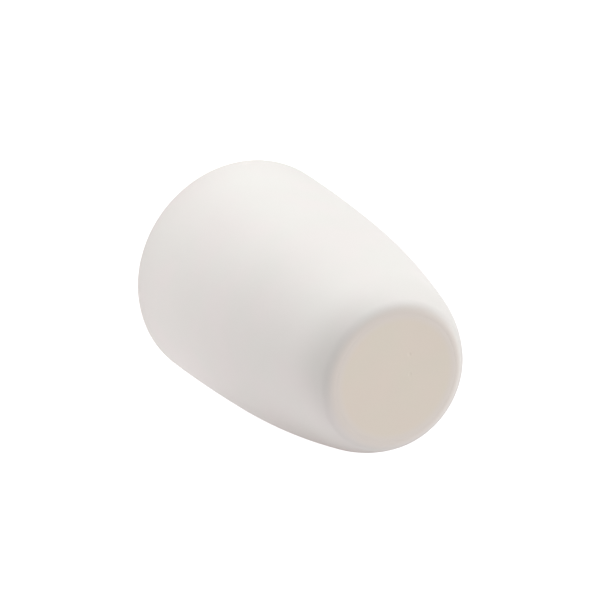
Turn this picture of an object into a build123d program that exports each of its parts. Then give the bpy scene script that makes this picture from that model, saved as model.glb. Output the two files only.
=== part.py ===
from build123d import *
import math
import os

# Plaster slip-casting mould for a handleless tumbler, standing mouth down.
#
# The mould comes apart into three plaster castings:
#   mould_shell   one seamless ring of plaster whose hollow forms the outside of the tumbler
#   foot_plug     a tapered round plug that closes the narrow end and forms the tumbler's foot
#   spare_ring    a flat ring let into the mouth, which forms the rim and holds the spare slip
# Six two-part natches (brass registration keys, cast into the plaster) line them up:
# three between the plug and the shell, three between the spare ring and the shell.
#
# Frame: origin at the centre of the mouth face, which is the face the mould stands on,
# +Z up along the axis of revolution, towards the foot. All sizes are in millimetres.

# ---- driving dimensions -------------------------------------------------------------

HEIGHT = 180.0                # mouth face to foot face

# outer profile, from the foot face downwards: a flat land, then four tangent arcs
FOOT_LAND_R = 34.0            # outer radius of the flat land round the plug
FOOT_EDGE_R = 7.3             # radius of the edge round the foot
FOOT_EDGE_ANGLE = 58.8        # slope of the wall where the edge arc ends, from horizontal
SHOULDER_R = 68.7             # radius of the shoulder arc
SHOULDER_ANGLE = 75.7         # slope of the wall where the shoulder arc ends
SIDE_R = 504.0                # radius of the side arc above SIDE_BREAK
SIDE_BREAK = 80.0             # height where the side turns nearly straight
MOUTH_SIDE_R = 1360.0         # radius of the side arc below SIDE_BREAK
MOUTH_EDGE_R = 3.0            # rounding of the outer edge of the mouth

# casting cavity: the outside of the wet tumbler
CAVITY_FOOT_R = 20.6
CAVITY_FOOT_ANGLE = 64.5
CAVITY_SHOULDER_R = 75.0
CAVITY_SHOULDER_ANGLE = 77.5
CAVITY_SIDE_R = 700.0

# foot plug
PLUG_THICKNESS = 20.0
PLUG_FACE_R = 33.7            # radius of the plug's outer face
PLUG_TAPER = 3.4              # degrees a side, so that the plug lifts out
PLUG_EDGE = 0.15              # chamfer round the plug's outer face
PLUG_GAP = 0.08               # gap between the plug and its seat, square to the seat
FOOT_RING_R = 16.8            # inside radius of the tumbler's foot ring
FOOT_RECESS = 2.6             # depth of the recess inside the foot ring
FOOT_RECESS_DRAFT = 1.4       # how far the recess wall runs in over its depth
FOOT_RECESS_EDGE = 0.8        # chamfer on the boss that forms the recess

# spare ring
RING_THICKNESS = 14.0
RING_R = 57.2                 # outer radius at the mouth face
RING_TAPER = 4.0              # degrees a side, so that the shell lifts off the ring
RING_EDGE = 0.6               # chamfer on the ring's outer corners at the mouth face
RING_GAP = 0.15
POUR_R = 38.4                 # pouring opening, one wall of slip smaller than the rim
POUR_LAND = 6.0               # height of the cylindrical part of the opening
FLARE_R = 45.0                # radius of the flared opening at the mouth face

# faces that meet are a hair apart, so that no two solids share any volume
FACE_GAP = 0.02

# natches: one size, six pairs
NATCH_R = 3.2                 # radius of the flange that sits flush in the plaster
NATCH_FLANGE = 1.2
NATCH_SHANK_R = 1.4
NATCH_SHANK_LENGTH = 5.0
NATCH_BARB_R = 2.3
NATCH_BARB = 1.4
NUB_BASE_R = 2.2
NUB_TIP_R = 1.5
NUB_LENGTH = 2.5
NUB_TIP_EDGE = 0.45
CUP_CLEARANCE = 0.12          # round the nub
CUP_DEPTH = 2.9
CUP_LENGTH = 4.8
CUP_GROOVE_TOP = 1.7          # the keying groove round the cup, from its rim
CUP_GROOVE_LOW = 3.2
CUP_GROOVE = 0.45             # depth of the groove that keys the cup into the plaster
FOOT_NATCH_PITCH_R = 28.3
MOUTH_NATCH_PITCH_R = 49.9
FOOT_NATCH_ANGLES = (90.0, 210.0, 330.0)
MOUTH_NATCH_ANGLES = (30.0, 150.0, 270.0)


# ---- profiles in the (r, z) half-plane ------------------------------------------------


def arc_points(start, radius, angle_0, angle_1):
    """Middle and end of an arc that leaves start at angle_0 below horizontal, outwards
    and down, and steepens to angle_1."""
    a0, a1 = math.radians(angle_0), math.radians(angle_1)
    centre_r = start[0] - radius * math.sin(a0)
    centre_z = start[1] - radius * math.cos(a0)
    at = lambda a: (centre_r + radius * math.sin(a), centre_z + radius * math.cos(a))
    return at((a0 + a1) / 2), at(a1)


def angle_at_height(start, radius, angle_0, z_end):
    """Slope at which such an arc reaches the height z_end."""
    centre_z = start[1] - radius * math.cos(math.radians(angle_0))
    return math.degrees(math.acos((z_end - centre_z) / radius))


def flat(point):
    return Vector(point[0], 0, point[1])


def line(a, b):
    return Edge.make_line(flat(a), flat(b))


def arc(a, m, b):
    return Edge.make_three_point_arc(flat(a), flat(m), flat(b))


def turned(edges):
    """Solid of revolution of a closed outline in the (r, z) half-plane."""
    return revolve(Face(Wire(edges)), axis=Axis.Z, revolution_arc=360)


plug_bottom = HEIGHT - PLUG_THICKNESS
ring_top = RING_THICKNESS
plug_tan = math.tan(math.radians(PLUG_TAPER))
ring_tan = math.tan(math.radians(RING_TAPER))
plug_gap_r = PLUG_GAP / math.cos(math.radians(PLUG_TAPER))
ring_gap_r = RING_GAP / math.cos(math.radians(RING_TAPER))

# outer wall, foot to mouth
o0 = (FOOT_LAND_R, HEIGHT)
m1, o1 = arc_points(o0, FOOT_EDGE_R, 0.0, FOOT_EDGE_ANGLE)
m2, o2 = arc_points(o1, SHOULDER_R, FOOT_EDGE_ANGLE, SHOULDER_ANGLE)
side_break = angle_at_height(o2, SIDE_R, SHOULDER_ANGLE, SIDE_BREAK)
m3, o3 = arc_points(o2, SIDE_R, SHOULDER_ANGLE, side_break)
side_end = angle_at_height(o3, MOUTH_SIDE_R, side_break, MOUTH_EDGE_R)
m4, o4 = arc_points(o3, MOUTH_SIDE_R, side_break, side_end)
corner = math.sqrt(0.5)
m5 = (o4[0] - MOUTH_EDGE_R * (1 - corner), MOUTH_EDGE_R * (1 - corner))
o5 = (o4[0] - MOUTH_EDGE_R, 0.0)

# cavity wall, foot to mouth
c0 = (CAVITY_FOOT_R, plug_bottom - FACE_GAP)
n1, c1 = arc_points(c0, CAVITY_SHOULDER_R, CAVITY_FOOT_ANGLE, CAVITY_SHOULDER_ANGLE)
cavity_end = angle_at_height(c1, CAVITY_SIDE_R, CAVITY_SHOULDER_ANGLE, ring_top)
n2, c2 = arc_points(c1, CAVITY_SIDE_R, CAVITY_SHOULDER_ANGLE, cavity_end)

# ---- mould shell ----------------------------------------------------------------------

seat_top_r = PLUG_FACE_R + plug_gap_r
seat_bottom_r = seat_top_r - PLUG_THICKNESS * plug_tan
rebate_mouth_r = RING_R + ring_gap_r
rebate_top_r = rebate_mouth_r - ring_top * ring_tan

mould_shell = turned(
    [
        line((seat_top_r, HEIGHT), o0),
        arc(o0, m1, o1),
        arc(o1, m2, o2),
        arc(o2, m3, o3),
        arc(o3, m4, o4),
        arc(o4, m5, o5),
        line(o5, (rebate_mouth_r, 0.0)),
        line((rebate_mouth_r, 0.0), (rebate_top_r, ring_top)),
        line((rebate_top_r, ring_top), c2),
        arc(c2, n2, c1),
        arc(c1, n1, c0),
        line(c0, (seat_bottom_r, plug_bottom - FACE_GAP)),
        line((seat_bottom_r, plug_bottom - FACE_GAP), (seat_top_r, HEIGHT)),
    ]
)

# ---- foot plug --------------------------------------------------------------------------

plug_bottom_r = PLUG_FACE_R - PLUG_THICKNESS * plug_tan
recess_r = FOOT_RING_R - FOOT_RECESS_DRAFT
recess_edge_r = recess_r - FOOT_RECESS_EDGE
recess_z = plug_bottom - FOOT_RECESS
plug_edge_r = PLUG_FACE_R - PLUG_EDGE * plug_tan
foot_plug = turned(
    [
        line((0.0, HEIGHT), (PLUG_FACE_R - PLUG_EDGE, HEIGHT)),
        line((PLUG_FACE_R - PLUG_EDGE, HEIGHT), (plug_edge_r, HEIGHT - PLUG_EDGE)),
        line((plug_edge_r, HEIGHT - PLUG_EDGE), (plug_bottom_r, plug_bottom)),
        line((plug_bottom_r, plug_bottom), (FOOT_RING_R, plug_bottom)),
        line((FOOT_RING_R, plug_bottom), (recess_r, recess_z + FOOT_RECESS_EDGE)),
        line((recess_r, recess_z + FOOT_RECESS_EDGE), (recess_edge_r, recess_z)),
        line((recess_edge_r, recess_z), (0.0, recess_z)),
        line((0.0, recess_z), (0.0, HEIGHT)),
    ]
)

# ---- spare ring -------------------------------------------------------------------------

ring_face_top = ring_top - FACE_GAP
ring_top_r = RING_R - ring_face_top * ring_tan
land_bottom = ring_face_top - POUR_LAND
spare_ring = turned(
    [
        line((RING_R - RING_EDGE, 0.0), (RING_R - RING_EDGE * ring_tan, RING_EDGE)),
        line((RING_R - RING_EDGE * ring_tan, RING_EDGE), (ring_top_r, ring_face_top)),
        line((ring_top_r, ring_face_top), (POUR_R, ring_face_top)),
        line((POUR_R, ring_face_top), (POUR_R, land_bottom)),
        line((POUR_R, land_bottom), (FLARE_R, 0.0)),
        line((FLARE_R, 0.0), (RING_R - RING_EDGE, 0.0)),
    ]
)

# ---- natches ------------------------------------------------------------------------------


def natch_pin():
    """Male half, its flange face on z = 0, the nub pointing to +Z and the shank to -Z."""
    shank_end = -(NATCH_FLANGE + NATCH_SHANK_LENGTH)
    return turned(
        [
            line((0.0, NUB_LENGTH), (NUB_TIP_R - NUB_TIP_EDGE, NUB_LENGTH)),
            line((NUB_TIP_R - NUB_TIP_EDGE, NUB_LENGTH), (NUB_TIP_R, NUB_LENGTH - NUB_TIP_EDGE)),
            line((NUB_TIP_R, NUB_LENGTH - NUB_TIP_EDGE), (NUB_BASE_R, 0.0)),
            line((NUB_BASE_R, 0.0), (NATCH_R, 0.0)),
            line((NATCH_R, 0.0), (NATCH_R, -NATCH_FLANGE)),
            line((NATCH_R, -NATCH_FLANGE), (NATCH_SHANK_R, -NATCH_FLANGE)),
            line((NATCH_SHANK_R, -NATCH_FLANGE), (NATCH_SHANK_R, shank_end + NATCH_BARB)),
            line((NATCH_SHANK_R, shank_end + NATCH_BARB), (NATCH_BARB_R, shank_end + NATCH_BARB)),
            line((NATCH_BARB_R, shank_end + NATCH_BARB), (NATCH_BARB_R - 0.6, shank_end)),
            line((NATCH_BARB_R - 0.6, shank_end), (0.0, shank_end)),
            line((0.0, shank_end), (0.0, NUB_LENGTH)),
        ]
    )


def natch_cup():
    """Female half, its rim on z = 0 and its closed end at -Z."""
    slope = (NUB_BASE_R - NUB_TIP_R) / NUB_LENGTH
    mouth_r = NUB_BASE_R + CUP_CLEARANCE
    floor_r = mouth_r - slope * CUP_DEPTH
    groove_top, groove_low = -CUP_GROOVE_TOP, -CUP_GROOVE_LOW
    return turned(
        [
            line((mouth_r, 0.0), (NATCH_R, 0.0)),
            line((NATCH_R, 0.0), (NATCH_R, groove_top)),
            line((NATCH_R, groove_top), (NATCH_R - CUP_GROOVE, groove_top)),
            line((NATCH_R - CUP_GROOVE, groove_top), (NATCH_R - CUP_GROOVE, groove_low)),
            line((NATCH_R - CUP_GROOVE, groove_low), (NATCH_R, groove_low)),
            line((NATCH_R, groove_low), (NATCH_R, -CUP_LENGTH)),
            line((NATCH_R, -CUP_LENGTH), (0.0, -CUP_LENGTH)),
            line((0.0, -CUP_LENGTH), (0.0, -CUP_DEPTH)),
            line((0.0, -CUP_DEPTH), (floor_r, -CUP_DEPTH)),
            line((floor_r, -CUP_DEPTH), (mouth_r, 0.0)),
        ]
    )


def bed(shape_length):
    """Plain pocket outline of a cup, filled in, used to cut its bed in the plaster."""
    groove_top, groove_low = -CUP_GROOVE_TOP, -CUP_GROOVE_LOW
    return turned(
        [
            line((0.0, 0.0), (NATCH_R, 0.0)),
            line((NATCH_R, 0.0), (NATCH_R, groove_top)),
            line((NATCH_R, groove_top), (NATCH_R - CUP_GROOVE, groove_top)),
            line((NATCH_R - CUP_GROOVE, groove_top), (NATCH_R - CUP_GROOVE, groove_low)),
            line((NATCH_R - CUP_GROOVE, groove_low), (NATCH_R, groove_low)),
            line((NATCH_R, groove_low), (NATCH_R, -shape_length)),
            line((NATCH_R, -shape_length), (0.0, -shape_length)),
            line((0.0, -shape_length), (0.0, 0.0)),
        ]
    )


def place(shape, pitch_r, angle, z, up=True):
    """Puts a natch half on a pitch circle, facing +Z, or turned over to face -Z."""
    a = math.radians(angle)
    turn = (0, 0, 0) if up else (180, 0, 0)
    return Pos(pitch_r * math.cos(a), pitch_r * math.sin(a), z) * Rot(*turn) * shape


parts = {}
shell_foot_face = plug_bottom - FACE_GAP
shell_mouth_face = ring_top

for i, angle in enumerate(FOOT_NATCH_ANGLES, 1):
    # nubs on the plug point down into cups let into the shell's seat
    pin = place(natch_pin(), FOOT_NATCH_PITCH_R, angle, plug_bottom, up=False)
    cup = place(natch_cup(), FOOT_NATCH_PITCH_R, angle, shell_foot_face, up=True)
    foot_plug = foot_plug - pin
    mould_shell = mould_shell - place(
        bed(CUP_LENGTH), FOOT_NATCH_PITCH_R, angle, shell_foot_face, up=True
    )
    parts[f"foot_natch_pin_{i}"] = pin
    parts[f"foot_natch_cup_{i}"] = cup

for i, angle in enumerate(MOUTH_NATCH_ANGLES, 1):
    # nubs on the spare ring point up into cups let into the roof of the rebate
    pin = place(natch_pin(), MOUTH_NATCH_PITCH_R, angle, ring_face_top, up=True)
    cup = place(natch_cup(), MOUTH_NATCH_PITCH_R, angle, shell_mouth_face, up=False)
    spare_ring = spare_ring - pin
    mould_shell = mould_shell - place(
        bed(CUP_LENGTH), MOUTH_NATCH_PITCH_R, angle, shell_mouth_face, up=False
    )
    parts[f"mouth_natch_pin_{i}"] = pin
    parts[f"mouth_natch_cup_{i}"] = cup

parts["mould_shell"] = mould_shell
parts["foot_plug"] = foot_plug
parts["spare_ring"] = spare_ring

os.makedirs("parts", exist_ok=True)
for name, shape in parts.items():
    shape.label = name
    export_step(shape, f"parts/{name}.step")

if __name__ == "__main__":
    print("mouth radius", round(o4[0], 3), "cavity mouth radius", round(c2[0], 3))
    print("side slope at the mouth", round(side_end, 2), "cavity", round(cavity_end, 2))
    print("seat", round(seat_top_r, 3), round(seat_bottom_r, 3))
    print("rebate", round(rebate_mouth_r, 3), round(rebate_top_r, 3))
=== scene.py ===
import math

import bmesh
import bpy
from mathutils import Matrix, Vector, noise


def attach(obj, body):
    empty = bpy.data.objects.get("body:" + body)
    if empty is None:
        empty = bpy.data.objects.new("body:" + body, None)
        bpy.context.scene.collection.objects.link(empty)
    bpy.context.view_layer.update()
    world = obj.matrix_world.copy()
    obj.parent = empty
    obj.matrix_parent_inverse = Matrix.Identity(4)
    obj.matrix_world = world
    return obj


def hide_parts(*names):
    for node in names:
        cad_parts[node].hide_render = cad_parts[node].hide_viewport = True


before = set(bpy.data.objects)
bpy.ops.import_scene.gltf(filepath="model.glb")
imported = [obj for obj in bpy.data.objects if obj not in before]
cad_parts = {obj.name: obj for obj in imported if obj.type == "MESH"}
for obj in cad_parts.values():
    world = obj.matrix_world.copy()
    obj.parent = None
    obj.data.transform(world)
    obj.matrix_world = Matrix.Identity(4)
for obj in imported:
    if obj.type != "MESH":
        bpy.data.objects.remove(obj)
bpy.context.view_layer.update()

MM = 0.001

# ---- shapes shared with the CAD, in millimetres ------------------------------------------

HEIGHT = 180.0
FOOT_LAND_R, FOOT_EDGE_R, FOOT_EDGE_ANGLE = 34.0, 7.3, 58.8
SHOULDER_R, SHOULDER_ANGLE = 68.7, 75.7
SIDE_R, SIDE_BREAK, MOUTH_SIDE_R, MOUTH_EDGE_R = 504.0, 80.0, 1360.0, 3.0
CAVITY_FOOT_R, CAVITY_FOOT_ANGLE = 20.6, 64.5
CAVITY_SHOULDER_R, CAVITY_SHOULDER_ANGLE, CAVITY_SIDE_R = 75.0, 77.5, 700.0
PLUG_THICKNESS, PLUG_FACE_R, PLUG_TAPER, PLUG_GAP = 20.0, 33.7, 3.4, 0.08
FOOT_RING_R, FOOT_RECESS, FOOT_RECESS_DRAFT, FOOT_RECESS_EDGE = 16.8, 2.6, 1.4, 0.8
RING_THICKNESS, RING_R, RING_TAPER, RING_EDGE, RING_GAP = 14.0, 57.2, 4.0, 0.6, 0.15
POUR_R, POUR_LAND, FLARE_R, FACE_GAP = 38.4, 6.0, 45.0, 0.02
NATCH_R, NATCH_FLANGE, NATCH_SHANK_R, NATCH_SHANK_LENGTH = 3.2, 1.2, 1.4, 5.0
NATCH_BARB_R, NATCH_BARB = 2.3, 1.4
CUP_LENGTH, CUP_GROOVE_TOP, CUP_GROOVE_LOW, CUP_GROOVE = 4.8, 1.7, 3.2, 0.45
FOOT_NATCH_PITCH_R, MOUTH_NATCH_PITCH_R = 28.3, 49.9
FOOT_NATCH_ANGLES = (90.0, 210.0, 330.0)
MOUTH_NATCH_ANGLES = (30.0, 150.0, 270.0)
AROUND = 240                  # facets round a lathe-turned plaster surface
SEAM = 0.005                  # hairline between the plug's edge and the shell
PINHOLES = ((-13.3, -2.2, 1.10, 0.12), (-5.4, 5.2, 1.10, 0.12))   # burst bubbles in the plug's face

plug_bottom = HEIGHT - PLUG_THICKNESS
plug_tan = math.tan(math.radians(PLUG_TAPER))
ring_tan = math.tan(math.radians(RING_TAPER))
plug_gap_r = PLUG_GAP / math.cos(math.radians(PLUG_TAPER))
ring_gap_r = RING_GAP / math.cos(math.radians(RING_TAPER))


def arc_run(start, radius, angle_0, angle_1, steps):
    """Points of an arc that leaves start at angle_0 below horizontal and steepens to angle_1."""
    a0, a1 = math.radians(angle_0), math.radians(angle_1)
    cr, cz = start[0] - radius * math.sin(a0), start[1] - radius * math.cos(a0)
    return [
        (cr + radius * math.sin(a0 + (a1 - a0) * i / steps), cz + radius * math.cos(a0 + (a1 - a0) * i / steps))
        for i in range(1, steps + 1)
    ]


def angle_at_height(start, radius, angle_0, z_end):
    cz = start[1] - radius * math.cos(math.radians(angle_0))
    return math.degrees(math.acos((z_end - cz) / radius))


def softened(points, radii):
    """Closed outline with each corner replaced by a small arc. radii gives the softening per corner."""
    out = []
    n = len(points)
    for i, p in enumerate(points):
        r = radii.get(i, 0.0)
        if r <= 0:
            out.append(p)
            continue
        a, b = Vector(points[i - 1]), Vector(points[(i + 1) % n])
        c = Vector(p)
        da, db = (a - c), (b - c)
        ra, rb = min(r, da.length * 0.45), min(r, db.length * 0.45)
        pa, pb = c + da.normalized() * ra, c + db.normalized() * rb
        for k in range(4):
            t = k / 3
            q = pa.lerp(c, t).lerp(c.lerp(pb, t), t)
            out.append((q.x, q.y))
    return out


def split_long(points, longest):
    """Adds points along long straight runs, so that the surface has vertices to carry its unevenness."""
    out = []
    n = len(points)
    for i, p in enumerate(points):
        q = points[(i + 1) % n]
        out.append(p)
        d = math.hypot(q[0] - p[0], q[1] - p[1])
        if p[0] < 1e-6 and q[0] < 1e-6:
            continue
        m = int(d // longest)
        for k in range(1, m + 1):
            t = k / (m + 1)
            out.append((p[0] + (q[0] - p[0]) * t, p[1] + (q[1] - p[1]) * t))
    return out


def lathe(name, outline, around=AROUND, phase=0.0):
    """Closed mesh of revolution about Z from an outline of (r, z) in millimetres. Points on the axis become one vertex."""
    bm = bmesh.new()
    rings = []
    for r, z in outline:
        if r < 1e-6:
            rings.append([bm.verts.new((0, 0, z * MM))])
        else:
            rings.append(
                [
                    bm.verts.new(
                        (
                            r * MM * math.cos(2 * math.pi * (k + phase) / around),
                            r * MM * math.sin(2 * math.pi * (k + phase) / around),
                            z * MM,
                        )
                    )
                    for k in range(around)
                ]
            )
    n = len(rings)
    for i in range(n):
        a, b = rings[i], rings[(i + 1) % n]
        if len(a) == 1 and len(b) == 1:
            continue
        for k in range(around):
            j = (k + 1) % around
            if len(a) == 1:
                bm.faces.new((a[0], b[k], b[j]))
            elif len(b) == 1:
                bm.faces.new((a[k], b[0], a[j]))
            else:
                bm.faces.new((a[k], b[k], b[j], a[j]))
    bmesh.ops.recalc_face_normals(bm, faces=bm.faces)
    mesh = bpy.data.meshes.new(name)
    bm.to_mesh(mesh)
    bm.free()
    o = bpy.data.objects.new(name, mesh)
    bpy.context.scene.collection.objects.link(o)
    return o


def smooth(o, angle=28):
    mesh = o.data
    mesh.polygons.foreach_set("use_smooth", [True] * len(mesh.polygons))
    mesh.set_sharp_from_angle(angle=math.radians(angle))
    mesh.update()


def cut(o, cutter):
    """Takes cutter's volume out of o and removes cutter."""
    m = o.modifiers.new("cut", "BOOLEAN")
    m.operation, m.solver, m.object = "DIFFERENCE", "EXACT", cutter
    dg = bpy.context.evaluated_depsgraph_get()
    new = bpy.data.meshes.new_from_object(o.evaluated_get(dg))
    o.modifiers.remove(m)
    old = o.data
    o.data = new
    bpy.data.meshes.remove(old)
    data = cutter.data
    bpy.data.objects.remove(cutter)
    bpy.data.meshes.remove(data)
    o.data.name = o.name


# ---- outlines --------------------------------------------------------------------------------

# outer wall, foot to mouth
wall = [(FOOT_LAND_R, HEIGHT)]
wall += arc_run(wall[-1], FOOT_EDGE_R, 0.0, FOOT_EDGE_ANGLE, 16)
wall += arc_run(wall[-1], SHOULDER_R, FOOT_EDGE_ANGLE, SHOULDER_ANGLE, 14)
side_break = angle_at_height(wall[-1], SIDE_R, SHOULDER_ANGLE, SIDE_BREAK)
wall += arc_run(wall[-1], SIDE_R, SHOULDER_ANGLE, side_break, 24)
side_end = angle_at_height(wall[-1], MOUTH_SIDE_R, side_break, MOUTH_EDGE_R)
wall += arc_run(wall[-1], MOUTH_SIDE_R, side_break, side_end, 26)
edge_r = wall[-1][0]
wall += [
    (edge_r - MOUTH_EDGE_R * (1 - math.cos(a)), MOUTH_EDGE_R * (1 - math.sin(a)))
    for a in (math.radians(90 * k / 8) for k in range(1, 9))
]

# cavity wall, foot to mouth
hollow = [(CAVITY_FOOT_R, plug_bottom - FACE_GAP)]
hollow += arc_run(hollow[-1], CAVITY_SHOULDER_R, CAVITY_FOOT_ANGLE, CAVITY_SHOULDER_ANGLE, 10)
hollow_end = angle_at_height(hollow[-1], CAVITY_SIDE_R, CAVITY_SHOULDER_ANGLE, RING_THICKNESS)
hollow += arc_run(hollow[-1], CAVITY_SIDE_R, CAVITY_SHOULDER_ANGLE, hollow_end, 34)

seat_top_r = PLUG_FACE_R + plug_gap_r
seat_bottom_r = seat_top_r - PLUG_THICKNESS * plug_tan
rebate_mouth_r = RING_R + ring_gap_r
rebate_top_r = rebate_mouth_r - RING_THICKNESS * ring_tan

shell_outline = wall + [(rebate_mouth_r, 0.0), (rebate_top_r, RING_THICKNESS)]
shell_outline += hollow[::-1]
shell_outline += [(seat_bottom_r, plug_bottom - FACE_GAP), (seat_top_r, HEIGHT)]
count = len(wall)
soft = {count: 0.35, len(shell_outline) - 1: 0.02}
shell_outline = split_long(softened(shell_outline, soft), 3.2)

plug_bottom_r = PLUG_FACE_R - PLUG_THICKNESS * plug_tan
recess_r = FOOT_RING_R - FOOT_RECESS_DRAFT
recess_z = plug_bottom - FOOT_RECESS
lip_r = seat_top_r - SEAM       # the plug's outer edge closes on its seat to a hairline
plug_outline = [
    (0.0, HEIGHT),
    (lip_r, HEIGHT),
    (PLUG_FACE_R - 0.6 * plug_tan, HEIGHT - 0.6),
    (plug_bottom_r, plug_bottom),
    (FOOT_RING_R, plug_bottom),
    (recess_r, recess_z),
    (0.0, recess_z),
]
plug_outline = split_long(softened(plug_outline, {1: 0.02, 3: 0.2, 4: 0.25, 5: 0.9}), 2.0)

ring_face_top = RING_THICKNESS - FACE_GAP
ring_top_r = RING_R - ring_face_top * ring_tan
ring_outline = [
    (RING_R, 0.0),
    (ring_top_r, ring_face_top),
    (POUR_R, ring_face_top),
    (POUR_R, ring_face_top - POUR_LAND),
    (FLARE_R, 0.0),
]
ring_outline = split_long(softened(ring_outline, {0: 0.6, 1: 0.12, 3: 1.0, 4: 0.6}), 2.4)


# ---- plaster pieces ----------------------------------------------------------------------------


def bed_outline(kind):
    """Outline of the space a natch half takes up in the plaster, grown by a hair, opening at z = 0."""
    hair = 0.015
    if kind == "cup":
        r, g = NATCH_R + hair, NATCH_R - CUP_GROOVE + hair
        return [(0, 0.6), (r, 0.6), (r, -CUP_GROOVE_TOP), (g, -CUP_GROOVE_TOP), (g, -CUP_GROOVE_LOW), (r, -CUP_GROOVE_LOW),
                (r, -CUP_LENGTH - hair), (0, -CUP_LENGTH - hair)]
    end = -(NATCH_FLANGE + NATCH_SHANK_LENGTH) - hair
    r, s, b = NATCH_R + hair, NATCH_SHANK_R + hair, NATCH_BARB_R + hair
    return [(0, 0.6), (r, 0.6), (r, -NATCH_FLANGE - hair), (s, -NATCH_FLANGE - hair), (s, end + NATCH_BARB),
            (b, end + NATCH_BARB), (b - 0.6, end), (0, end)]


def cut_beds(o, kind, pitch, angles, z, up):
    for n, angle in enumerate(angles):
        a = math.radians(angle)
        c = lathe("cutter", bed_outline(kind), around=48, phase=0.37)
        turn = Matrix.Identity(4) if up else Matrix.Rotation(math.pi, 4, "X")
        c.data.transform(Matrix.Translation((pitch * MM * math.cos(a), pitch * MM * math.sin(a), z * MM)) @ turn)
        cut(o, c)


def cut_pinholes(o, holes, z):
    """Burst air bubbles in the flat face at height z: shallow bowls, each (x, y, radius, depth)."""
    for x, y, r, depth in holes:
        ball = (r * r + depth * depth) / (2 * depth)
        bowl = [(0.0, 0.4), (r, 0.4)]
        steps = 5
        a0 = math.asin(r / ball)
        bowl += [(ball * math.sin(a0 * (1 - k / steps)), ball - depth - ball * math.cos(a0 * (1 - k / steps))) for k in range(steps + 1)]
        bowl[-1] = (0.0, -depth)
        c = lathe("cutter", bowl, around=24, phase=0.2)
        c.data.transform(Matrix.Translation((x * MM, y * MM, z * MM)))
        cut(o, c)


def sharpen_rims(o, holes, z):
    flat = [v.co.z > (z - 0.001) * MM for v in o.data.vertices]
    for e in o.data.edges:
        a, b = e.vertices
        if flat[a] and flat[b]:
            pa, pb = o.data.vertices[a].co / MM, o.data.vertices[b].co / MM
            for x, y, r, depth in holes:
                if abs(math.hypot(pa.x - x, pa.y - y) - r) < 0.01 and abs(math.hypot(pb.x - x, pb.y - y) - r) < 0.01:
                    e.use_edge_sharp = True


def uneven(o, amount, size, seed, keep=None):
    """Hand-finished unevenness: vertices move along Z-axis radii by up to amount (mm), over patches of size (mm)."""
    offset = Vector((seed * 13.7, seed * 7.1, seed * 3.3))
    for v in o.data.vertices:
        p = v.co
        r = math.hypot(p.x, p.y)
        if r < 1e-6 or (keep and not keep(r / MM, p.z / MM)):
            continue
        d = noise.noise(p / (size * MM) + offset) * amount * MM
        v.co = Vector((p.x * (1 + d / r), p.y * (1 + d / r), p.z))


shell = lathe("shell_body", shell_outline)
uneven(shell, 0.05, 55.0, 1, keep=lambda r, z: r > 58.0 or (z > 30 and r > 45))
cut_beds(shell, "cup", FOOT_NATCH_PITCH_R, FOOT_NATCH_ANGLES, plug_bottom - FACE_GAP, True)
cut_beds(shell, "cup", MOUTH_NATCH_PITCH_R, MOUTH_NATCH_ANGLES, RING_THICKNESS, False)
smooth(shell)

plug = lathe("plug_body", plug_outline, around=192)
cut_beds(plug, "pin", FOOT_NATCH_PITCH_R, FOOT_NATCH_ANGLES, plug_bottom, False)
cut_pinholes(plug, PINHOLES, HEIGHT)
smooth(plug)
sharpen_rims(plug, PINHOLES, HEIGHT)

ring = lathe("ring_body", ring_outline)
cut_beds(ring, "pin", MOUTH_NATCH_PITCH_R, MOUTH_NATCH_ANGLES, ring_face_top, True)
smooth(ring)

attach(shell, "shell"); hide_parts("mould_shell")
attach(plug, "plug"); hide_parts("foot_plug")
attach(ring, "spare"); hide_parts("spare_ring")


# ---- materials ---------------------------------------------------------------------------------


def new_material(name):
    m = bpy.data.materials.new(name)
    m.use_nodes = True
    nt = m.node_tree
    nt.nodes.clear()
    out = nt.nodes.new("ShaderNodeOutputMaterial")
    return m, nt, out


def link(nt, a, b):
    nt.links.new(a, b)


def calc(nt, op, *args):
    n = nt.nodes.new("ShaderNodeMath")
    n.operation = op
    for i, v in enumerate(args):
        if isinstance(v, (int, float)):
            n.inputs[i].default_value = v
        else:
            link(nt, v, n.inputs[i])
    return n.outputs[0]


def tint(nt, how, share, a, b):
    """a and b are colour outputs or plain colours, share an output or a number."""
    n = nt.nodes.new("ShaderNodeMix")
    n.data_type, n.blend_type = "RGBA", how
    sockets = {i.identifier: i for i in n.inputs}
    for key, v in (("Factor_Float", share), ("A_Color", a), ("B_Color", b)):
        if isinstance(v, (int, float, tuple)):
            sockets[key].default_value = v
        else:
            link(nt, v, sockets[key])
    return {o.identifier: o for o in n.outputs}["Result_Color"]


def fade(nt, value, full, gone):
    """1 at full, 0 at gone, smooth between them."""
    n = nt.nodes.new("ShaderNodeMapRange")
    n.interpolation_type = "SMOOTHSTEP"
    link(nt, value, n.inputs["Value"])
    ends = ((full, 1.0), (gone, 0.0)) if full < gone else ((gone, 0.0), (full, 1.0))
    n.inputs["From Min"].default_value, n.inputs["To Min"].default_value = ends[0]
    n.inputs["From Max"].default_value, n.inputs["To Max"].default_value = ends[1]
    return n.outputs[0]


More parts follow.
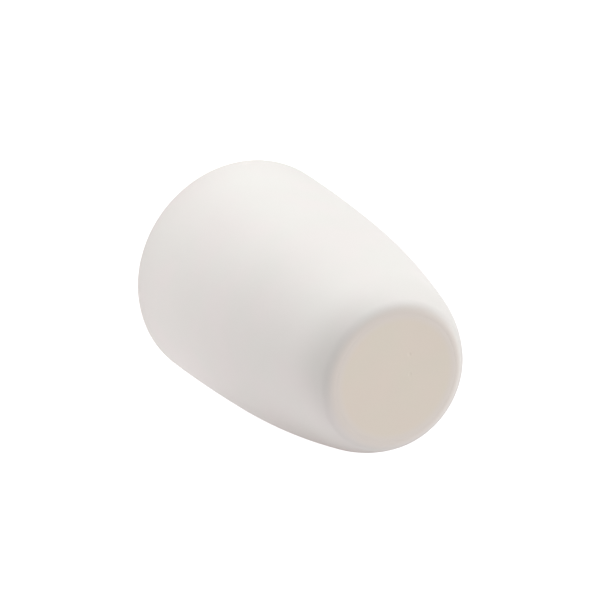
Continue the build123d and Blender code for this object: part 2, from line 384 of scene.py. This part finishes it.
def plaster(name, low, high, roughness, grain, ior, level, rub=None):
    """Fine-grained potter's plaster: low-contrast mottling between two tones, slow drifts of warmth, fine grain and
    faint turning marks. rub is (tone, radius where it is full, radius where it is gone, roughness, IOR, specular
    level): the zone of the foot face where the two plasters were sanded flush together and took on one finish."""
    m, nt, out = new_material(name)
    tc = nt.nodes.new("ShaderNodeTexCoord")
    broad = nt.nodes.new("ShaderNodeTexNoise")
    broad.inputs["Scale"].default_value = 22.0
    broad.inputs["Detail"].default_value = 4.0
    broad.inputs["Roughness"].default_value = 0.55
    link(nt, tc.outputs["Object"], broad.inputs["Vector"])
    fine = nt.nodes.new("ShaderNodeTexNoise")
    fine.inputs["Scale"].default_value = 900.0
    fine.inputs["Detail"].default_value = 3.0
    link(nt, tc.outputs["Object"], fine.inputs["Vector"])
    mix = nt.nodes.new("ShaderNodeMath"); mix.operation = "MULTIPLY_ADD"
    mix.inputs[1].default_value = 0.25
    link(nt, fine.outputs["Fac"], mix.inputs[0]); link(nt, broad.outputs["Fac"], mix.inputs[2])
    ramp = nt.nodes.new("ShaderNodeValToRGB")
    ramp.color_ramp.elements[0].position = 0.35
    ramp.color_ramp.elements[0].color = (*low, 1)
    ramp.color_ramp.elements[1].position = 0.85
    ramp.color_ramp.elements[1].color = (*high, 1)
    link(nt, mix.outputs[0], ramp.inputs["Fac"])
    colour = ramp.outputs["Color"]
    # slow drifts between a pinker and a greener warm white, a few centimetres across
    drift = nt.nodes.new("ShaderNodeTexNoise")
    drift.inputs["Scale"].default_value = 38.0
    drift.inputs["Detail"].default_value = 1.0
    link(nt, tc.outputs["Object"], drift.inputs["Vector"])
    cast = nt.nodes.new("ShaderNodeValToRGB")
    cast.color_ramp.elements[0].position = 0.36
    cast.color_ramp.elements[0].color = (1.012, 0.994, 0.998, 1)
    cast.color_ramp.elements[1].position = 0.64
    cast.color_ramp.elements[1].color = (0.994, 1.003, 0.994, 1)
    link(nt, drift.outputs["Fac"], cast.inputs["Fac"])
    colour = tint(nt, "MULTIPLY", 1.0, colour, cast.outputs["Color"])
    xyz = nt.nodes.new("ShaderNodeSeparateXYZ")
    link(nt, tc.outputs["Object"], xyz.inputs[0])
    x, y, z = xyz.outputs
    r = calc(nt, "SQRT", calc(nt, "ADD", calc(nt, "MULTIPLY", x, x), calc(nt, "MULTIPLY", y, y)))
    share = None
    if rub:
        tone, full, gone, rub_roughness, rub_ior, rub_level = rub
        share = fade(nt, r, full * MM, gone * MM)
        share = calc(nt, "MULTIPLY", share, fade(nt, z, (HEIGHT - 2.5) * MM, (HEIGHT - 8.0) * MM))
        colour = tint(nt, "MIX", share, colour, (*tone, 1))
    # turning marks: rings about the axis, a fraction of a millimetre apart, broken up by noise
    marks = nt.nodes.new("ShaderNodeTexNoise")
    marks.noise_dimensions = "2D"
    marks.inputs["Scale"].default_value = 1.0
    marks.inputs["Detail"].default_value = 3.0
    where = nt.nodes.new("ShaderNodeCombineXYZ")
    link(nt, calc(nt, "MULTIPLY", calc(nt, "ADD", z, calc(nt, "MULTIPLY", r, 0.35)), 700.0), where.inputs[0])
    link(nt, calc(nt, "MULTIPLY", broad.outputs["Fac"], 1.2), where.inputs[1])
    link(nt, where.outputs[0], marks.inputs["Vector"])
    rings = nt.nodes.new("ShaderNodeBump")
    rings.inputs["Strength"].default_value = 0.35
    rings.inputs["Distance"].default_value = 0.00002
    link(nt, marks.outputs["Fac"], rings.inputs["Height"])
    bump = nt.nodes.new("ShaderNodeBump")
    bump.inputs["Strength"].default_value = grain
    bump.inputs["Distance"].default_value = 0.00005
    link(nt, fine.outputs["Fac"], bump.inputs["Height"])
    link(nt, rings.outputs["Normal"], bump.inputs["Normal"])
    p = nt.nodes.new("ShaderNodeBsdfPrincipled")
    p.inputs["IOR"].default_value = ior
    p.inputs["Specular IOR Level"].default_value = level
    rough = nt.nodes.new("ShaderNodeMapRange")
    rough.inputs["From Min"].default_value = 0.3
    rough.inputs["From Max"].default_value = 0.7
    rough.inputs["To Min"].default_value = roughness - 0.025
    rough.inputs["To Max"].default_value = roughness + 0.025
    link(nt, broad.outputs["Fac"], rough.inputs["Value"])
    matt = rough.outputs[0]
    if share is not None:
        matt = calc(nt, "MULTIPLY_ADD", share, rub_roughness - roughness, matt)
        link(nt, calc(nt, "MULTIPLY_ADD", share, rub_ior - ior, ior), p.inputs["IOR"])
        link(nt, calc(nt, "MULTIPLY_ADD", share, rub_level - level, level), p.inputs["Specular IOR Level"])
    link(nt, matt, p.inputs["Roughness"])
    link(nt, colour, p.inputs["Base Color"])
    link(nt, bump.outputs["Normal"], p.inputs["Normal"])
    link(nt, p.outputs[0], out.inputs["Surface"])
    return m


def brass(name):
    m, nt, out = new_material(name)
    tc = nt.nodes.new("ShaderNodeTexCoord")
    n1 = nt.nodes.new("ShaderNodeTexNoise")
    n1.inputs["Scale"].default_value = 350.0
    n1.inputs["Detail"].default_value = 5.0
    link(nt, tc.outputs["Object"], n1.inputs["Vector"])
    ramp = nt.nodes.new("ShaderNodeValToRGB")
    ramp.color_ramp.elements[0].position = 0.3
    ramp.color_ramp.elements[0].color = (0.48, 0.31, 0.11, 1)
    ramp.color_ramp.elements[1].position = 0.7
    ramp.color_ramp.elements[1].color = (0.66, 0.46, 0.18, 1)
    link(nt, n1.outputs["Fac"], ramp.inputs["Fac"])
    p = nt.nodes.new("ShaderNodeBsdfPrincipled")
    p.inputs["Metallic"].default_value = 1.0
    rough = nt.nodes.new("ShaderNodeMapRange")
    rough.inputs["To Min"].default_value = 0.28
    rough.inputs["To Max"].default_value = 0.48
    link(nt, n1.outputs["Fac"], rough.inputs["Value"])
    link(nt, rough.outputs[0], p.inputs["Roughness"])
    link(nt, ramp.outputs["Color"], p.inputs["Base Color"])
    bump = nt.nodes.new("ShaderNodeBump")
    bump.inputs["Strength"].default_value = 0.15
    bump.inputs["Distance"].default_value = 0.00003
    link(nt, n1.outputs["Fac"], bump.inputs["Height"])
    link(nt, bump.outputs["Normal"], p.inputs["Normal"])
    link(nt, p.outputs[0], out.inputs["Surface"])
    return m


WHITE_LOW, WHITE_HIGH = (0.768, 0.733, 0.704), (0.788, 0.754, 0.726)
CREAM_LOW, CREAM_HIGH = (0.836, 0.757, 0.661), (0.860, 0.777, 0.680)
RUBBED = (0.836, 0.759, 0.696)
white = plaster("plaster_white", WHITE_LOW, WHITE_HIGH, 0.38, 0.25, 1.6, 1.0, rub=(RUBBED, 34.2, 39.5, 0.38, 1.6, 1.0))
cream = plaster("plaster_cream", CREAM_LOW, CREAM_HIGH, 0.75, 0.5, 1.45, 0.5, rub=(RUBBED, 33.6, 28.6, 0.38, 1.6, 1.0))
metal = brass("brass")
for o, m in ((shell, white), (ring, white), (plug, cream)):
    o.data.materials.clear()
    o.data.materials.append(m)
for name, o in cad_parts.items():
    if "natch" in name:
        o.data.materials.clear()
        o.data.materials.append(metal)
        for poly in o.data.polygons:
            poly.material_index = 0
        bevel = o.modifiers.new("edge", "BEVEL")
        bevel.width, bevel.segments, bevel.limit_method = 0.00012, 2, "ANGLE"
        bevel.angle_limit = math.radians(35)

# ---- floor, world, lights ------------------------------------------------------------------------

# Soft light tents round a white table: (azimuth, elevation, strength) of each broad patch of sky, and
# (azimuth, distance from the object in metres, strength) of each patch of light on the table.
# Azimuth 0 is in front of the object, on its -Y side, and grows towards +X.
SKY_BASE = 0.299
SKY = (
    (90, 5, 0.42), (180, 5, 0.79), (210, 5, 1.15), (240, 5, 0.36), (270, 5, 0.89), (300, 5, 0.64),
    (330, 5, 0.32),
    (90, 30, 0.30), (120, 30, 0.85), (180, 30, 0.08), (210, 30, 0.33), (240, 30, 0.09), (270, 30, 0.64),
    (300, 30, 0.46), (330, 30, 0.24),
    (90, 55, 0.12), (135, 55, 0.49), (315, 55, 0.32),
)
SKY_WIDTH = 12.0
TABLE_BASE = 0.000
TABLE = (
    (0, 0.085, 0.53), (45, 0.085, 0.43), (90, 0.085, 0.39), (135, 0.085, 0.05), (225, 0.085, 0.16),
    (270, 0.085, 0.24), (315, 0.085, 0.57),
    (0, 0.194, 0.39), (45, 0.194, 0.30), (90, 0.194, 0.17), (180, 0.194, 0.31), (225, 0.194, 0.24),
    (270, 0.194, 0.17), (315, 0.194, 0.54),
    (0, 0.442, 0.61), (45, 0.442, 0.13), (90, 0.442, 0.75), (225, 0.442, 0.17), (270, 0.442, 0.31),
    (315, 0.442, 1.03),
    (0, 1.008, 0.35), (90, 1.008, 0.56), (225, 1.008, 0.41), (270, 1.008, 0.70), (315, 1.008, 0.90),
    (0, 2.3, 0.16), (90, 2.3, 0.18), (225, 2.3, 0.24), (270, 2.3, 0.34), (315, 2.3, 0.42),
)
TABLE_WIDTH, TABLE_STEP = 6.0, 2.28
TABLE_COLOUR = 0.85
# the light is a touch pinker on one side of the room than on the other
PINK_AZ, PINK, PALE = 105, (1.028, 0.990, 0.998, 1), (0.981, 1.006, 1.004, 1)
SEEN_WHITE = 0.42             # extra white of the table where the camera sees it
# painted shade: a dark warm patch in the table's colour and light beside the object, out of the camera's sight, that
# darkens the object's lower edge and its reflections there. Columns: azimuth, distance, width round the object, width
# outwards, depth of tone, colour
PAINTED_SHADE_AZ, PAINTED_SHADE_AT, PAINTED_SHADE_WIDTH, PAINTED_SHADE_SPREAD, PAINTED_SHADE_DEPTH, PAINTED_SHADE_COLOUR = 140, 0.21, 7.0, 0.6, 1.0, (0.14, 0.055, 0.035)


def towards(az, el):
    a, e = math.radians(az), math.radians(el)
    return (math.sin(a) * math.cos(e), -math.cos(a) * math.cos(e), math.sin(e))


bm = bmesh.new()
bmesh.ops.create_grid(bm, x_segments=1, y_segments=1, size=6.0)
floor_mesh = bpy.data.meshes.new("floor")
bm.to_mesh(floor_mesh)
bm.free()
floor = bpy.data.objects.new("floor", floor_mesh)
floor.location = (0, 0, -0.0002)
bpy.context.scene.collection.objects.link(floor)
fm, nt, out = new_material("floor")
d = nt.nodes.new("ShaderNodeBsdfDiffuse")
geo = nt.nodes.new("ShaderNodeNewGeometry")
xyz = nt.nodes.new("ShaderNodeSeparateXYZ")
link(nt, geo.outputs["Position"], xyz.inputs[0])
x, y = xyz.outputs["X"], xyz.outputs["Y"]
r = calc(nt, "MAXIMUM", calc(nt, "SQRT", calc(nt, "ADD", calc(nt, "MULTIPLY", x, x), calc(nt, "MULTIPLY", y, y))), 1e-4)
ux, uy = calc(nt, "DIVIDE", x, r), calc(nt, "DIVIDE", y, r)
total = None
for distance in sorted({t[1] for t in TABLE}):
    gap = calc(nt, "ABSOLUTE", calc(nt, "LOGARITHM", calc(nt, "DIVIDE", r, distance), math.e))
    window = calc(nt, "MAXIMUM", calc(nt, "SUBTRACT", 1.0, calc(nt, "DIVIDE", gap, math.log(TABLE_STEP))), 0.0)
    ring_sum = None
    for az, at, strength in TABLE:
        if at != distance:
            continue
        ax, ay, _ = towards(az, 0)
        c = calc(nt, "ADD", calc(nt, "MULTIPLY", ux, ax), calc(nt, "MULTIPLY", uy, ay))
        lobe = calc(nt, "MULTIPLY", calc(nt, "EXPONENT", calc(nt, "MULTIPLY", calc(nt, "SUBTRACT", c, 1.0), TABLE_WIDTH)), strength)
        ring_sum = lobe if ring_sum is None else calc(nt, "ADD", ring_sum, lobe)
    part = calc(nt, "MULTIPLY", window, ring_sum)
    total = part if total is None else calc(nt, "ADD", total, part)
seen = nt.nodes.new("ShaderNodeLightPath").outputs["Is Camera Ray"]
# painted shade: the dark patch darkens the table's colour and glow for every ray but camera rays, and so shades the
# object's lower edge
ax, ay, _ = towards(PAINTED_SHADE_AZ, 0)
c = calc(nt, "ADD", calc(nt, "MULTIPLY", ux, ax), calc(nt, "MULTIPLY", uy, ay))
q = calc(nt, "DIVIDE", calc(nt, "LOGARITHM", calc(nt, "DIVIDE", r, PAINTED_SHADE_AT), math.e), PAINTED_SHADE_SPREAD)
painted_shade = calc(nt, "EXPONENT", calc(nt, "SUBTRACT", calc(nt, "MULTIPLY", calc(nt, "SUBTRACT", c, 1.0), PAINTED_SHADE_WIDTH), calc(nt, "MULTIPLY", q, q)))
painted_shade = calc(nt, "MULTIPLY", calc(nt, "MULTIPLY", painted_shade, PAINTED_SHADE_DEPTH), calc(nt, "SUBTRACT", 1.0, seen))
link(nt, tint(nt, "MIX", painted_shade, (TABLE_COLOUR, TABLE_COLOUR, TABLE_COLOUR, 1), (*PAINTED_SHADE_COLOUR, 1)), d.inputs["Color"])
glow = calc(nt, "MULTIPLY", calc(nt, "ADD", total, TABLE_BASE), calc(nt, "SUBTRACT", 1.0, painted_shade))
glow = calc(nt, "ADD", glow, calc(nt, "MULTIPLY", seen, SEEN_WHITE))
px, py, _ = towards(PINK_AZ, 0)
side = calc(nt, "MULTIPLY_ADD", calc(nt, "ADD", calc(nt, "MULTIPLY", ux, px), calc(nt, "MULTIPLY", uy, py)), 0.5, 0.5)
e = nt.nodes.new("ShaderNodeEmission")
link(nt, tint(nt, "MIX", side, PALE, PINK), e.inputs["Color"])
link(nt, glow, e.inputs["Strength"])
add = nt.nodes.new("ShaderNodeAddShader")
link(nt, d.outputs[0], add.inputs[0]); link(nt, e.outputs[0], add.inputs[1])
link(nt, add.outputs[0], out.inputs["Surface"])
floor.data.materials.append(fm)

world = bpy.data.worlds.new("studio")
bpy.context.scene.world = world
world.use_nodes = True
nt = world.node_tree
nt.nodes.clear()
out = nt.nodes.new("ShaderNodeOutputWorld")
bg = nt.nodes.new("ShaderNodeBackground")
tc = nt.nodes.new("ShaderNodeTexCoord")
unit = nt.nodes.new("ShaderNodeVectorMath"); unit.operation = "NORMALIZE"
link(nt, tc.outputs["Generated"], unit.inputs[0])
total = None
for az, el, strength in SKY:
    dot = nt.nodes.new("ShaderNodeVectorMath"); dot.operation = "DOT_PRODUCT"
    link(nt, unit.outputs[0], dot.inputs[0])
    dot.inputs[1].default_value = towards(az, el)
    lobe = calc(nt, "MULTIPLY", calc(nt, "EXPONENT", calc(nt, "MULTIPLY", calc(nt, "SUBTRACT", dot.outputs["Value"], 1.0), SKY_WIDTH)), strength)
    total = lobe if total is None else calc(nt, "ADD", total, lobe)
sky = calc(nt, "ADD", total, SKY_BASE)
dot = nt.nodes.new("ShaderNodeVectorMath"); dot.operation = "DOT_PRODUCT"
link(nt, unit.outputs[0], dot.inputs[0])
dot.inputs[1].default_value = towards(PINK_AZ, 0)
side = calc(nt, "MULTIPLY_ADD", dot.outputs["Value"], 0.5, 0.5)
link(nt, tint(nt, "MIX", side, PALE, PINK), bg.inputs["Color"])
seen = nt.nodes.new("ShaderNodeLightPath").outputs["Is Camera Ray"]
link(nt, calc(nt, "ADD", calc(nt, "MULTIPLY", sky, calc(nt, "SUBTRACT", 1.0, seen)), calc(nt, "MULTIPLY", seen, 1.05)), bg.inputs["Strength"])
link(nt, bg.outputs[0], out.inputs["Surface"])

# ---- camera ----------------------------------------------------------------------------------------

CAM_POS = (0.0, -0.540547, 0.900975)
CAM_COLS = ((-0.57551355, 0.68479121, 0.44704043), (-0.81777885, -0.48503589, -0.30980306), (0.00468024, -0.54387607, 0.83915250))
camera = bpy.data.objects.new("camera", bpy.data.cameras.new("camera"))
bpy.context.scene.collection.objects.link(camera)
camera.data.sensor_fit = "HORIZONTAL"
camera.data.sensor_width = 36.0
camera.data.lens = 109.117
camera.data.clip_start, camera.data.clip_end = 0.01, 50.0
rot = Matrix(CAM_COLS).transposed().to_4x4()
camera.matrix_world = Matrix.Translation(CAM_POS) @ rot
bpy.context.scene.camera = camera
bpy.context.scene.view_settings.view_transform = "Standard"
bpy.context.scene.view_settings.look = "None"
